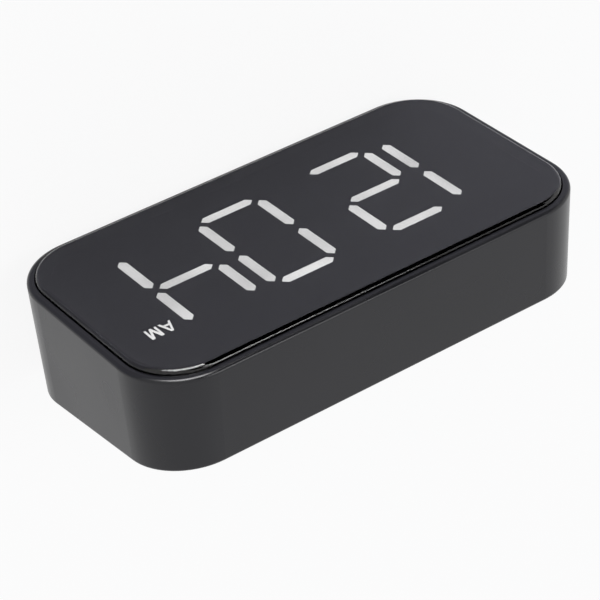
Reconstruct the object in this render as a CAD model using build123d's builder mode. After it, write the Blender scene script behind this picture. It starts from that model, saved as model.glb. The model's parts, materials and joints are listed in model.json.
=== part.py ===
from build123d import *

import os
from math import atan, cos, radians, sin, tan

os.makedirs("parts", exist_ok=True)

# Case: one drafted tub, open at the face, deeper at its base than at its top
case_width = 150.0
case_height = 78.9
case_corner_radius = 19.2
case_top_depth = 30.3
case_base_depth = 38.7
case_draft = 2.0
case_wall = 2.2
case_back_wall = 2.2
case_back_edge_radius = 0.9
case_rim_edge_radius = 1.2

# Small gaps that many pieces share
contact_gap = 0.05
cut_overrun = 1.0

# Front panel, standing proud of the rim
panel_gap = 0.3
panel_thickness = 2.0
panel_proud = 1.5
panel_edge_radius = 1.5

# Adhesive ring under the panel
tape_inset = 0.8
tape_width = 4.0
tape_thickness = 0.25

# Rubber feet, sunk in the base
foot_diameter = 9.0
foot_proud = 0.8
foot_sunk = 0.7
foot_end_margin = 27.0
foot_front_depth = 9.0
foot_back_margin = 8.7
foot_edge_radius = 0.3
foot_gap = 0.1

# Seven-bar digits: two for the hours, two for the minutes
display_left_margin = 8.675
display_right_margin = 23.875
display_top_margin = 18.85
display_base_margin = 16.15
digit_gap = 6.6
pair_gap = 17.65
bar_width = 3.05
bar_tip_gap = 1.45
bar_thickness = 2.0
colon_diameter = 3.4
bar_place_shares = {
    "a": (0, 1, False),
    "b": (1 / 2, 1 / 2, True),
    "c": (1 / 2, -1 / 2, True),
    "d": (0, -1, False),
    "e": (-1 / 2, -1 / 2, True),
    "f": (-1 / 2, 1 / 2, True),
    "g": (0, 0, False),
}
lit_bars = ["bc", "abged", "abcdef", "fgbc"]

# Morning mark beside the last digit
mark_side_margin = 15.05
mark_top_margin = 21.95
mark_height = 4.5
mark_thickness = 0.15
letter_width = 3.75
letter_gap = 0.75
insert_border = 1.0
insert_thickness = 2.0
letter_a_shares = [
    (0, 0), (0.4, 1), (0.6, 1), (1, 0), (0.83, 0), (0.74, 0.24), (0.26, 0.24), (0.17, 0),
]
letter_a_eye_shares = [(0.315, 0.385), (0.685, 0.385), (0.5, 0.87)]
letter_m_shares = [
    (0, 0), (0, 1), (0.24, 1), (0.5, 0.28), (0.76, 1), (1, 1), (1, 0),
    (0.84, 0), (0.84, 0.72), (0.58, 0), (0.42, 0), (0.16, 0.72), (0.16, 0),
]

# Light box: plate with a chimney round each bar, a skirt, posts and bosses
box_side_gap = 0.3
box_depth = 8.0
box_plate = 2.4
box_skirt = 1.4
chimney_wall = 0.9
window_gap = 0.05
boss_length = 15.4
boss_diameter = 6.6
post_diameter = 4.6

# Case screws, in towers that rise from the back
tower_side_margin = 13.5
tower_end_margin = 11.45
tower_web = 2.5
tower_wall = 1.5
screw_diameter = 3.0
screw_head_diameter = 5.6
screw_head_height = 2.2
screw_length = 9.0
screw_gap = 0.1
screw_head_gap = 0.4
screw_cross_length = 3.4
screw_cross_width = 0.9
screw_cross_depth = 1.2

# Small screws of both boards
small_screw_diameter = 2.0
small_screw_head_diameter = 3.8
small_screw_head_height = 1.3
small_screw_length = 6.0
small_cross_length = 2.2
small_cross_width = 0.6
small_cross_depth = 0.7

# Display board and what it carries
board_thickness = 1.6
display_board_margin = 2.2
led_size = 1.6
led_height = 0.8
led_place_share = 1 / 4
driver_length = 18.0
driver_width = 7.5
driver_height = 2.3

# Flat cable and its two sockets
ribbon_width = 6.0
ribbon_side_gap = 1.0
ribbon_thickness = 0.3
ribbon_run = 3.0
socket_width = 10.0
socket_depth = 5.0
socket_height = 2.2
display_socket_margin = 2.6
control_socket_margin = 1.0

# Row of buttons in a shallow recess near the top of the back
button_names = ["set", "mode", "alarm", "up", "down"]
button_row_margin = 23.2
button_diameter = 7.0
button_proud = 0.85
button_travel = 0.5
button_gap = 0.2
button_edge_radius = 0.4
button_dish_depth = 0.25
button_flange = 1.0
button_flange_thickness = 1.0
recess_margin = 2.4
recess_depth = 1.2
recess_wall = 2.0
recess_pad = 2.0

# Switches under the buttons
switch_size = 6.0
switch_height = 3.5
switch_air = 1.5
plunger_diameter = 3.4
plunger_sunk = 0.8
plunger_gap = 0.2

# Control board, parallel to the back, on four posts
control_board_end_gap = 6.5
control_board_bay_gap = 2.5
control_board_top_margin = 6.95
control_post_margin = 3.0
control_post_diameter = 5.0
chip_size = 7.0
chip_height = 1.5
chip_x = -8.0
crystal_length = 8.0
crystal_diameter = 3.0
crystal_x = -24.0
capacitor_diameter = 5.0
capacitor_height = 6.0
capacitor_x = 8.0
capacitor_pitch = 6.5

# Supply inlet at one end of the control board
inlet_end_margin = 6.5
inlet_recess_width = 14.0
inlet_recess_height = 9.0
inlet_recess_depth = 1.6
inlet_recess_radius = 2.0
inlet_pad = 2.0
shell_width = 8.94
shell_height = 3.2
shell_wall = 0.3
shell_gap = 0.2
tongue_width = 6.7
tongue_thickness = 0.7
tongue_set_back = 1.2
shell_base = 1.2

# Buzzer at the other end, behind its sound holes
buzzer_end_margin = 12.0
buzzer_diameter = 12.0
buzzer_height = 6.0
buzzer_port_diameter = 2.0
buzzer_port_depth = 1.0
sound_hole_diameter = 1.6
sound_hole_pitch = 3.0

# Battery bay and its three cells, laid along the width
cell_diameter = 10.5
cell_length = 43.5
cell_nub_diameter = 3.8
cell_nub_length = 1.0
cell_edge_radius = 0.5
cell_pitch = 11.0
cell_count = 3
bay_gap = 0.4
bay_contact_room = 2.6
bay_wall = 1.5
bay_base_margin = 8.8

# Battery door: plate in a rebate, two tabs below, a sprung tongue above
door_thickness = 1.8
door_ledge = 2.0
door_gap = 0.25
door_corner_radius = 2.0
collar_margin = 1.5
collar_thickness = 1.6
tab_width = 7.0
tab_spacing = 30.0
tab_thickness = 1.1
tab_drop = 0.6
tab_reach = 1.4
tab_root = 1.2
tab_slot_gap = 0.75
tongue_slit_width = 0.8
tongue_slit_length = 9.0
tongue_slit_spacing = 14.0
grip_groove_width = 0.8
grip_groove_depth = 0.4
grip_groove_pitch = 2.0
grip_groove_length = 10.0
notch_width = 16.0
notch_height = 7.0
notch_depth = 1.5

# Battery contacts: thin stamped strips with a raised leaf
contact_thickness = 0.4
contact_height = 8.0
contact_width = 7.0
leaf_width = 4.0
leaf_base = 6.0
tag_width = 2.4
tag_length = 3.0
tag_gap = 0.2

# Leads from the battery contacts to the control board
lead_diameter = 1.3
lead_lift = 2.0
lead_landing_margin = 2.1
lead_bend_radius = 2.4

# Planes: the face leans back by the draft, so that the base is level
lean = radians(case_draft)
back_slope = (case_base_depth - case_top_depth) / case_height
back_lean = atan(back_slope) - lean
mid_depth = (case_base_depth + case_top_depth) / 2
panel_width = case_width - 2 * (case_wall + panel_gap)
panel_height = case_height - 2 * (case_wall + panel_gap)
panel_corner_radius = case_corner_radius - case_wall - panel_gap
heel_depth = case_base_depth / (1 + back_slope * tan(lean))
panel_low_edge = (panel_height / 2 - panel_edge_radius) * sin(lean)
front_reach = panel_edge_radius + (panel_proud - panel_edge_radius) * cos(lean) + panel_low_edge
back_reach = heel_depth / cos(lean) - case_height / 2 * sin(lean)
face_y = (front_reach - back_reach) / 2
face_z = foot_proud + case_height / 2 * cos(lean)
base_front_y = face_y - case_height / 2 * sin(lean)

face = Plane(origin=(0, face_y, face_z), x_dir=(1, 0, 0), z_dir=(0, -cos(lean), sin(lean)))
into_case = Plane(origin=face.origin, x_dir=(1, 0, 0), z_dir=-face.z_dir)
back_origin = face.from_local_coords((0, 0, -mid_depth))
back = Plane(origin=back_origin, x_dir=(1, 0, 0), z_dir=(0, -cos(back_lean), -sin(back_lean)))

# Levels along the face normal
panel_back = panel_proud - panel_thickness
box_front = panel_back - 2 * contact_gap
box_back = box_front - box_depth
display_board_front = box_back - contact_gap
display_board_back = display_board_front - board_thickness
boss_end = box_front - boss_length
tower_front = boss_end - contact_gap
screw_seat = tower_front - tower_web

# Levels inwards from the back
button_floor = recess_depth + recess_wall
flange_near = button_floor + contact_gap
flange_far = flange_near + button_flange_thickness
plunger_near = flange_far + contact_gap
switch_near = plunger_near + switch_air
control_board_near = switch_near + switch_height
control_board_far = control_board_near + board_thickness
rebate_depth = door_thickness + 2 * contact_gap
cell_level = rebate_depth + bay_gap + cell_diameter / 2
bay_depth = cell_level + cell_diameter / 2 + bay_gap
bay_floor_far = bay_depth + bay_wall

# Battery bay outlines
bay_length = cell_length + cell_nub_length + 2 * bay_contact_room
bay_height = (cell_count - 1) * cell_pitch + cell_diameter + 2 * bay_gap
bay_low = bay_base_margin - case_height / 2
bay_high = bay_low + bay_height
bay_mid_y = (bay_low + bay_high) / 2
door_width = bay_length + 2 * door_ledge
door_height = bay_height + 2 * door_ledge
hinge_y = bay_low - door_ledge - door_gap
tab_near = door_thickness + contact_gap + tab_drop
tab_far = tab_near + tab_thickness

# Screw towers and feet, set in from the case's edges
tower_spacing_x = case_width - 2 * tower_side_margin
tower_spacing_y = case_height - 2 * tower_end_margin
foot_spacing = case_width - 2 * foot_end_margin
foot_xs = (-foot_spacing / 2, foot_spacing / 2)
foot_back_depth = case_base_depth - foot_back_margin

# Display layout, filling the panel inside its margins
display_width = panel_width - display_left_margin - display_right_margin
digit_columns = (display_width - 2 * digit_gap - pair_gap) / 4
digit_pitch = digit_columns + digit_gap
pair_pitch = digit_columns + pair_gap
digit_half = (panel_height - display_top_margin - display_base_margin) / 2
display_y = (display_base_margin - display_top_margin) / 2
first_digit_x = display_left_margin - panel_width / 2 + digit_columns / 2
digit_xs = [
    first_digit_x,
    first_digit_x + digit_pitch,
    first_digit_x + digit_pitch + pair_pitch,
    first_digit_x + 2 * digit_pitch + pair_pitch,
]
display_x = (digit_xs[1] + digit_xs[2]) / 2
mark_x = panel_width / 2 - mark_side_margin
mark_y = panel_height / 2 - mark_top_margin
display_board_left = digit_xs[0] - digit_columns / 2 - bar_width / 2 - display_board_margin
display_board_right = mark_x + letter_width + letter_gap + display_board_margin
display_board_height = 2 * digit_half + bar_width + display_board_margin
display_socket_y = display_y + display_board_height / 2 - display_socket_margin - socket_depth / 2

# Control board between the bay and the top of the case, with the button row along its middle
control_board_width = tower_spacing_x - 2 * control_board_end_gap
control_board_low = bay_high + bay_wall + control_board_bay_gap
control_board_height = case_height / 2 - control_board_top_margin - control_board_low
control_board_y = control_board_low + control_board_height / 2
control_post_spacing_x = control_board_width - 2 * control_post_margin
control_post_spacing_y = control_board_height - 2 * control_post_margin
button_row_y = control_board_y
button_pitch = (control_board_width - 2 * button_row_margin) / (len(button_names) - 1)
inlet_x = control_board_width / 2 - inlet_end_margin
buzzer_x = buzzer_end_margin - control_board_width / 2
ribbon_x = bay_length / 2 + bay_wall + ribbon_side_gap + socket_width / 2
control_socket_y = control_board_low + control_board_height - control_socket_margin - socket_depth / 2
lead_landing_y = control_board_low + lead_landing_margin

# Places
colon_places = [(display_x, display_y + digit_half / 2), (display_x, display_y - digit_half / 2)]
post_places = [(x, display_y + y) for x in digit_xs[:3] for y in (digit_half / 2, -digit_half / 2)]
button_xs = [(i - (len(button_names) - 1) / 2) * button_pitch for i in range(len(button_names))]
cell_ys = [bay_mid_y + (i - (cell_count - 1) / 2) * cell_pitch for i in range(cell_count)]


def bar_length(upright):
    """Tip to tip length of a bar."""
    run = digit_half if upright else digit_columns
    return run - 2 * bar_tip_gap


def bar_places(letters_by_digit):
    """Centre and direction of the named bars of each digit."""
    places = []
    for digit_x, letters in zip(digit_xs, letters_by_digit):
        for letter in letters:
            across_share, up_share, upright = bar_place_shares[letter]
            centre = (digit_x + across_share * digit_columns, display_y + up_share * digit_half)
            places.append((centre, upright))
    return places


def bar_outlines(places, margin):
    """Pointed bars in the open sketch, grown on all sides by the margin."""
    half_width = bar_width / 2 + margin
    for centre, upright in places:
        tip = bar_length(upright) / 2 + margin
        shoulder = tip - half_width
        with Locations(centre):
            Polygon(
                (-tip, 0), (-shoulder, half_width), (shoulder, half_width),
                (tip, 0), (shoulder, -half_width), (-shoulder, -half_width),
                rotation=90 if upright else 0,
            )


def drafted_tub(inset, back_inset):
    """Solid inside the case's drafted walls, inset from them and from the back."""
    with BuildPart() as tub:
        with BuildSketch(into_case):
            RectangleRounded(
                case_width - 2 * inset, case_height - 2 * inset, case_corner_radius - inset
            )
        extrude(amount=case_base_depth + cut_overrun, taper=case_draft)
        split(bisect_by=back.offset(back_inset), keep=Keep.TOP)
    return tub.part


def cross_screw(plane, place, diameter, length, head_diameter, head_height, cross):
    """Round-headed screw with a cross recess, its head's seat on the plane and its shank along the normal."""
    cross_length, cross_width, cross_depth = cross
    with BuildPart() as screw:
        with BuildSketch(plane):
            with Locations(place):
                Circle(head_diameter / 2)
        extrude(amount=-head_height)
        rim = screw.faces().sort_by(lambda f: (f.center() - plane.origin).dot(plane.z_dir))[0]
        fillet(rim.edges(), head_height / 3)
        with BuildSketch(plane):
            with Locations(place):
                Circle(diameter / 2)
        extrude(amount=length)
        tip = screw.faces().sort_by(lambda f: (f.center() - plane.origin).dot(plane.z_dir))[-1]
        chamfer(tip.edges(), diameter / 4)
        with BuildSketch(plane.offset(-head_height)):
            with Locations(place):
                Rectangle(cross_length, cross_width)
                Rectangle(cross_width, cross_length)
        extrude(amount=cross_depth, mode=Mode.SUBTRACT)
    return screw.part


# Towers that carry the case screws from the back up to the light box's bosses
with BuildPart() as screw_towers:
    with BuildSketch(face.offset(tower_front)):
        with GridLocations(tower_spacing_x, tower_spacing_y, 2, 2):
            Circle(screw_head_diameter / 2 + screw_head_gap + tower_wall)
    extrude(amount=-case_base_depth)
    add(drafted_tub(case_wall / 2, case_back_wall / 2), mode=Mode.INTERSECT)

# Rear case
with BuildPart() as rear_case:
    add(drafted_tub(0, 0))
    fillet(rear_case.faces().sort_by(Axis.Y)[-1].edges(), case_back_edge_radius)
    fillet(rear_case.faces().sort_by(Axis.Y)[0].edges(), case_rim_edge_radius)
    add(drafted_tub(case_wall, case_back_wall), mode=Mode.SUBTRACT)
    add(screw_towers.part)

    # pads behind the two recesses, the collar of the door and the bay's own box
    with BuildSketch(back.offset(case_back_wall / 2)):
        with Locations((0, button_row_y)):
            Rectangle(
                (len(button_names) - 1) * button_pitch + button_diameter + 2 * (recess_margin + recess_pad),
                button_diameter + 2 * (recess_margin + recess_pad),
            )
    extrude(amount=button_floor - case_back_wall / 2)
    with BuildSketch(back.offset(case_back_wall / 2)):
        with Locations((inlet_x, button_row_y)):
            Rectangle(inlet_recess_width + 2 * inlet_pad, inlet_recess_height + 2 * inlet_pad)
    extrude(amount=inlet_recess_depth + recess_wall - case_back_wall / 2)
    with BuildSketch(back.offset(case_back_wall / 2)):
        with Locations((0, bay_mid_y)):
            Rectangle(door_width + 2 * collar_margin, door_height + 2 * collar_margin)
    extrude(amount=rebate_depth + collar_thickness - case_back_wall / 2)
    with BuildSketch(back.offset(case_back_wall / 2)):
        with Locations((0, bay_mid_y)):
            Rectangle(bay_length + 2 * bay_wall, bay_height + 2 * bay_wall)
    extrude(amount=bay_floor_far - case_back_wall / 2)

    # posts for the control board
    with BuildSketch(back.offset(case_back_wall / 2)):
        with Locations((0, control_board_y)):
            with GridLocations(control_post_spacing_x, control_post_spacing_y, 2, 2):
                Circle(control_post_diameter / 2)
    extrude(amount=control_board_near - contact_gap - case_back_wall / 2)
    with BuildSketch(back.offset(control_board_near)):
        with Locations((0, control_board_y)):
            with GridLocations(control_post_spacing_x, control_post_spacing_y, 2, 2):
                Circle(small_screw_diameter / 2 + screw_gap)
    extrude(amount=-small_screw_length, mode=Mode.SUBTRACT)

    # button recess and its holes
    with BuildSketch(back.offset(-cut_overrun)):
        with Locations((0, button_row_y)):
            SlotOverall(
                (len(button_names) - 1) * button_pitch + button_diameter + 2 * recess_margin,
                button_diameter + 2 * recess_margin,
            )
    extrude(amount=cut_overrun + recess_depth, mode=Mode.SUBTRACT)
    with BuildSketch(back):
        with Locations([(x, button_row_y) for x in button_xs]):
            Circle(button_diameter / 2 + button_gap)
    extrude(amount=button_floor + cut_overrun, mode=Mode.SUBTRACT)

    # inlet recess and the window for the socket's shell
    with BuildSketch(back.offset(-cut_overrun)):
        with Locations((inlet_x, button_row_y)):
            RectangleRounded(inlet_recess_width, inlet_recess_height, inlet_recess_radius)
    extrude(amount=cut_overrun + inlet_recess_depth, mode=Mode.SUBTRACT)
    with BuildSketch(back):
        with Locations((inlet_x, button_row_y)):
            SlotOverall(shell_width + 2 * shell_gap, shell_height + 2 * shell_gap)
    extrude(amount=control_board_near, mode=Mode.SUBTRACT)

    # sound holes
    with BuildSketch(back.offset(-cut_overrun)):
        with Locations((buzzer_x, button_row_y)):
            Circle(sound_hole_diameter / 2)
            with PolarLocations(sound_hole_pitch, 6):
                Circle(sound_hole_diameter / 2)
    extrude(amount=case_back_wall + 2 * cut_overrun, mode=Mode.SUBTRACT)

    # bay, door rebate, finger notch and the slots for the door's tabs
    with BuildSketch(back.offset(-cut_overrun)):
        with Locations((0, bay_mid_y)):
            Rectangle(bay_length, bay_height)
    extrude(amount=cut_overrun + bay_depth, mode=Mode.SUBTRACT)
    with BuildSketch(back.offset(-cut_overrun)):
        with Locations((0, bay_mid_y)):
            RectangleRounded(
                door_width + 2 * door_gap, door_height + 2 * door_gap, door_corner_radius + door_gap
            )
    extrude(amount=cut_overrun + rebate_depth, mode=Mode.SUBTRACT)
    with BuildSketch(back.offset(-cut_overrun)):
        with Locations((0, bay_high + door_ledge)):
            SlotOverall(notch_width, notch_height)
    extrude(amount=cut_overrun + notch_depth, mode=Mode.SUBTRACT)
    slot_low = hinge_y - tab_reach - 2 * tab_slot_gap
    with BuildSketch(back.offset(case_back_wall)):
        with Locations((-tab_spacing / 2, 0), (tab_spacing / 2, 0)):
            with Locations((0, (slot_low + bay_low) / 2)):
                Rectangle(tab_width + 2 * door_gap, bay_low - slot_low)
    extrude(amount=tab_far + tab_slot_gap - case_back_wall, mode=Mode.SUBTRACT)
    with BuildSketch(back.offset(door_thickness)):
        with Locations((-tab_spacing / 2, 0), (tab_spacing / 2, 0)):
            with Locations((0, (hinge_y + bay_low) / 2)):
                Rectangle(tab_width + 2 * door_gap, bay_low - hinge_y)
    extrude(amount=case_back_wall + contact_gap - door_thickness, mode=Mode.SUBTRACT)

    # slots in the bay's floor for the two solder tags
    with BuildSketch(back.offset(bay_depth - cut_overrun)):
        for side, y in ((1, cell_ys[-1]), (-1, cell_ys[0])):
            tag_x = side * (bay_length / 2 - contact_gap - contact_thickness / 2)
            with Locations((tag_x, y)):
                Rectangle(contact_thickness + 2 * tag_gap, tag_width + 2 * tag_gap)
    extrude(amount=bay_wall + 2 * cut_overrun, mode=Mode.SUBTRACT)

    # bores of the screw towers, open to the back
    with BuildSketch(face.offset(screw_seat)):
        with GridLocations(tower_spacing_x, tower_spacing_y, 2, 2):
            Circle(screw_head_diameter / 2 + screw_head_gap)
    extrude(amount=-case_base_depth, mode=Mode.SUBTRACT)
    with BuildSketch(face.offset(tower_front + cut_overrun)):
        with GridLocations(tower_spacing_x, tower_spacing_y, 2, 2):
            Circle(screw_diameter / 2 + screw_gap)
    extrude(amount=-tower_web - 2 * cut_overrun, mode=Mode.SUBTRACT)

    # pockets for the rubber feet
    with BuildSketch(Plane.XY):
        for depth in (foot_front_depth, foot_back_depth):
            with Locations(*[(x, base_front_y + depth) for x in foot_xs]):
                Circle(foot_diameter / 2 + foot_gap)
    extrude(amount=foot_proud + foot_sunk + contact_gap, mode=Mode.SUBTRACT)
rear_case.part.label = "rear_case"
export_step(rear_case.part, "parts/rear_case.step")

# Rubber feet
with BuildPart() as rubber_feet:
    with BuildSketch(Plane.XY):
        for depth in (foot_front_depth, foot_back_depth):
            with Locations(*[(x, base_front_y + depth) for x in foot_xs]):
                Circle(foot_diameter / 2)
    extrude(amount=foot_proud + foot_sunk)
    fillet(rubber_feet.faces().filter_by(Axis.Z).group_by(Axis.Z)[0].edges(), foot_edge_radius)
rubber_feet.part.label = "rubber_feet"
export_step(rubber_feet.part, "parts/rubber_feet.step")

# Front panel
with BuildPart() as front_panel:
    with BuildSketch(face.offset(panel_back)):
        RectangleRounded(panel_width, panel_height, panel_corner_radius)
    extrude(amount=panel_thickness)
    fillet(front_panel.faces().sort_by(Axis(face.origin, face.z_dir))[-1].edges(), panel_edge_radius)
front_panel.part.label = "front_panel"
export_step(front_panel.part, "parts/front_panel.step")

# Adhesive ring between the panel and the light box
tape_outer_width = panel_width - 2 * tape_inset
tape_outer_height = panel_height - 2 * tape_inset
tape_outer_radius = panel_corner_radius - tape_inset
with BuildPart() as panel_tape:
    with BuildSketch(face.offset(panel_back - contact_gap)):
        RectangleRounded(tape_outer_width, tape_outer_height, tape_outer_radius)
        RectangleRounded(
            tape_outer_width - 2 * tape_width,
            tape_outer_height - 2 * tape_width,
            tape_outer_radius - tape_width,
            mode=Mode.SUBTRACT,
        )
    extrude(amount=-tape_thickness)
panel_tape.part.label = "panel_tape"
export_step(panel_tape.part, "parts/panel_tape.step")

# Light box
box_width = panel_width - 2 * box_side_gap
box_height = panel_height - 2 * box_side_gap
box_radius = panel_corner_radius - box_side_gap
insert_width = 2 * letter_width + letter_gap + 2 * insert_border
insert_height = mark_height + 2 * insert_border
all_bars = bar_places(["abcdefg"] * len(digit_xs))
with BuildPart() as light_box:
    with BuildSketch(face.offset(box_front)):
        RectangleRounded(box_width, box_height, box_radius)
    extrude(amount=-box_plate)
    with BuildSketch(face.offset(box_front - box_plate / 2)):
        RectangleRounded(box_width, box_height, box_radius)
        RectangleRounded(
            box_width - 2 * box_skirt, box_height - 2 * box_skirt, box_radius - box_skirt, mode=Mode.SUBTRACT
        )
        bar_outlines(all_bars, window_gap + chimney_wall)
        with Locations(*colon_places):
            Circle(colon_diameter / 2 + window_gap + chimney_wall)
        with Locations(*post_places):
            Circle(post_diameter / 2)
        with Locations((mark_x, mark_y)):
            Rectangle(insert_width + 2 * chimney_wall, insert_height + 2 * chimney_wall)
    extrude(amount=box_plate / 2 - box_depth)
    with BuildSketch(face.offset(box_front - box_plate / 2)):
        with GridLocations(tower_spacing_x, tower_spacing_y, 2, 2):
            Circle(boss_diameter / 2)
    extrude(amount=box_plate / 2 - boss_length)
    with BuildSketch(face.offset(box_front)):
        bar_outlines(all_bars, window_gap)
        with Locations(*colon_places):
            Circle(colon_diameter / 2 + window_gap)
        with Locations((mark_x, mark_y)):
            Rectangle(insert_width + 2 * window_gap, insert_height + 2 * window_gap)
    extrude(amount=-box_depth, mode=Mode.SUBTRACT)
    with BuildSketch(face.offset(box_front)):
        RectangleRounded(box_width + cut_overrun, box_height + cut_overrun, box_radius)
        RectangleRounded(
            tape_outer_width - 2 * (tape_width + contact_gap),
            tape_outer_height - 2 * (tape_width + contact_gap),
            tape_outer_radius - tape_width - contact_gap,
            mode=Mode.SUBTRACT,
        )
    extrude(amount=-tape_thickness, mode=Mode.SUBTRACT)
    with BuildSketch(face.offset(box_back)):
        with Locations(*post_places):
            Circle(small_screw_diameter / 2 + screw_gap)
    extrude(amount=small_screw_length - board_thickness, mode=Mode.SUBTRACT)
    with BuildSketch(face.offset(boss_end)):
        with GridLocations(tower_spacing_x, tower_spacing_y, 2, 2):
            Circle(screw_diameter / 2 + screw_gap)
    extrude(amount=screw_length, mode=Mode.SUBTRACT)
light_box.part.label = "light_box"
export_step(light_box.part, "parts/light_box.step")

# Lit bars of the shown time
with BuildPart() as lit_segments:
    with BuildSketch(face.offset(box_front)):
        bar_outlines(bar_places(lit_bars), 0)
    extrude(amount=-bar_thickness)
lit_segments.part.label = "lit_segments"
export_step(lit_segments.part, "parts/lit_segments.step")

# Bars that are dark at the shown time
dark_bars = ["".join(letter for letter in bar_place_shares if letter not in lit) for lit in lit_bars]
with BuildPart() as unlit_segments:
    with BuildSketch(face.offset(box_front)):
        bar_outlines(bar_places(dark_bars), 0)
    extrude(amount=-bar_thickness)
unlit_segments.part.label = "unlit_segments"
export_step(unlit_segments.part, "parts/unlit_segments.step")

# Dots between hours and minutes
with BuildPart() as colon_dots:
    with BuildSketch(face.offset(box_front)):
        with Locations(*colon_places):
            Circle(colon_diameter / 2)
    extrude(amount=-bar_thickness)
colon_dots.part.label = "colon_dots"
export_step(colon_dots.part, "parts/colon_dots.step")

# Window block behind the morning mark
with BuildPart() as mark_insert:
    with BuildSketch(face.offset(box_front - mark_thickness)):
        with Locations((mark_x, mark_y)):
            Rectangle(insert_width, insert_height)
    extrude(amount=-insert_thickness)
mark_insert.part.label = "mark_insert"
export_step(mark_insert.part, "parts/mark_insert.step")


def letter_points(shares, left):
    """Corners of a letter on the face, its lower left corner at the given place."""
    low = mark_y - mark_height / 2
    points = []
    for across_share, up_share in shares:
        points.append((left + across_share * letter_width, low + up_share * mark_height))
    return points


# Letters of the morning mark
letter_a_left = mark_x - letter_gap / 2 - letter_width
letter_m_left = mark_x + letter_gap / 2
with BuildPart() as am_mark:
    with BuildSketch(face.offset(box_front - mark_thickness)):
        Polygon(*letter_points(letter_a_shares, letter_a_left), align=None)
        Polygon(*letter_points(letter_a_eye_shares, letter_a_left), align=None, mode=Mode.SUBTRACT)
        Polygon(*letter_points(letter_m_shares, letter_m_left), align=None)
    extrude(amount=mark_thickness)
am_mark.part.label = "am_mark"
export_step(am_mark.part, "parts/am_mark.step")

# Display board
with BuildPart() as display_board:
    with BuildSketch(face.offset(display_board_front)):
        with Locations(((display_board_left + display_board_right) / 2, display_y)):
            Rectangle(display_board_right - display_board_left, display_board_height)
        with Locations(*post_places):
            Circle(small_screw_diameter / 2 + screw_gap, mode=Mode.SUBTRACT)
    extrude(amount=-board_thickness)
display_board.part.label = "display_board"
export_step(display_board.part, "parts/display_board.step")

# Lamps: two behind each bar, one behind each dot, one behind each letter
lamp_places = list(colon_places)
for letter_left in (letter_a_left, letter_m_left):
    lamp_places.append((letter_left + letter_width / 2, mark_y))
for (bar_x, bar_y), upright in all_bars:
    reach = led_place_share * bar_length(upright)
    for side in (-1, 1):
        lamp_places.append((bar_x, bar_y + side * reach) if upright else (bar_x + side * reach, bar_y))
with BuildPart() as segment_leds:
    with BuildSketch(face.offset(display_board_front)):
        with Locations(*lamp_places):
            Rectangle(led_size, led_size)
    extrude(amount=led_height)
segment_leds.part.label = "segment_leds"
export_step(segment_leds.part, "parts/segment_leds.step")

# Display driver on the back of the display board
with BuildPart() as driver_chip:
    with BuildSketch(face.offset(display_board_back)):
        with Locations((display_x, display_y)):
            Rectangle(driver_length, driver_width)
    extrude(amount=-driver_height)
driver_chip.part.label = "driver_chip"
export_step(driver_chip.part, "parts/driver_chip.step")

# Screws of the display board, driven from behind
small_cross = (small_cross_length, small_cross_width, small_cross_depth)
with BuildPart() as display_board_screws:
    for place in post_places:
        add(
            cross_screw(
                face.offset(display_board_back), place, small_screw_diameter, small_screw_length - screw_gap,
                small_screw_head_diameter, small_screw_head_height, small_cross,
            )
        )
display_board_screws.part.label = "display_board_screws"
export_step(display_board_screws.part, "parts/display_board_screws.step")

# Control board
with BuildPart() as control_board:
    with BuildSketch(back.offset(control_board_near)):
        with Locations((0, control_board_y)):
            Rectangle(control_board_width, control_board_height)
            with GridLocations(control_post_spacing_x, control_post_spacing_y, 2, 2):
                Circle(small_screw_diameter / 2 + screw_gap, mode=Mode.SUBTRACT)
    extrude(amount=board_thickness)
control_board.part.label = "control_board"
export_step(control_board.part, "parts/control_board.step")

# Screws of the control board, driven from the face side
control_screw_plane = Plane(
    origin=back.from_local_coords((0, control_board_y, control_board_far)), x_dir=(1, 0, 0), z_dir=-back.z_dir
)
control_screw_places = [
    (x, y)
    for x in (-control_post_spacing_x / 2, control_post_spacing_x / 2)
    for y in (-control_post_spacing_y / 2, control_post_spacing_y / 2)
]
with BuildPart() as control_board_screws:
    for place in control_screw_places:
        add(
            cross_screw(
                control_screw_plane, place, small_screw_diameter, small_screw_length - screw_gap,
                small_screw_head_diameter, small_screw_head_height, small_cross,
            )
        )
control_board_screws.part.label = "control_board_screws"
export_step(control_board_screws.part, "parts/control_board_screws.step")

# Case screws, in the bores of the towers
case_cross = (screw_cross_length, screw_cross_width, screw_cross_depth)
case_screw_places = [
    (x, y)
    for x in (-tower_spacing_x / 2, tower_spacing_x / 2)
    for y in (-tower_spacing_y / 2, tower_spacing_y / 2)
]
with BuildPart() as case_screws:
    for place in case_screw_places:
        add(
            cross_screw(
                face.offset(screw_seat - contact_gap), place, screw_diameter, screw_length,
                screw_head_diameter, screw_head_height, case_cross,
            )
        )
case_screws.part.label = "case_screws"
export_step(case_screws.part, "parts/case_screws.step")

# Sockets of the flat cable, one on each board
with BuildPart() as display_socket:
    with BuildSketch(face.offset(display_board_back)):
        with Locations((ribbon_x, display_socket_y)):
            Rectangle(socket_width, socket_depth)
    extrude(amount=-socket_height)
display_socket.part.label = "display_socket"
export_step(display_socket.part, "parts/display_socket.step")

with BuildPart() as control_socket:
    with BuildSketch(back.offset(control_board_far)):
        with Locations((ribbon_x, control_socket_y)):
            Rectangle(socket_width, socket_depth)
    extrude(amount=socket_height)
control_socket.part.label = "control_socket"
export_step(control_socket.part, "parts/control_socket.step")

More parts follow.
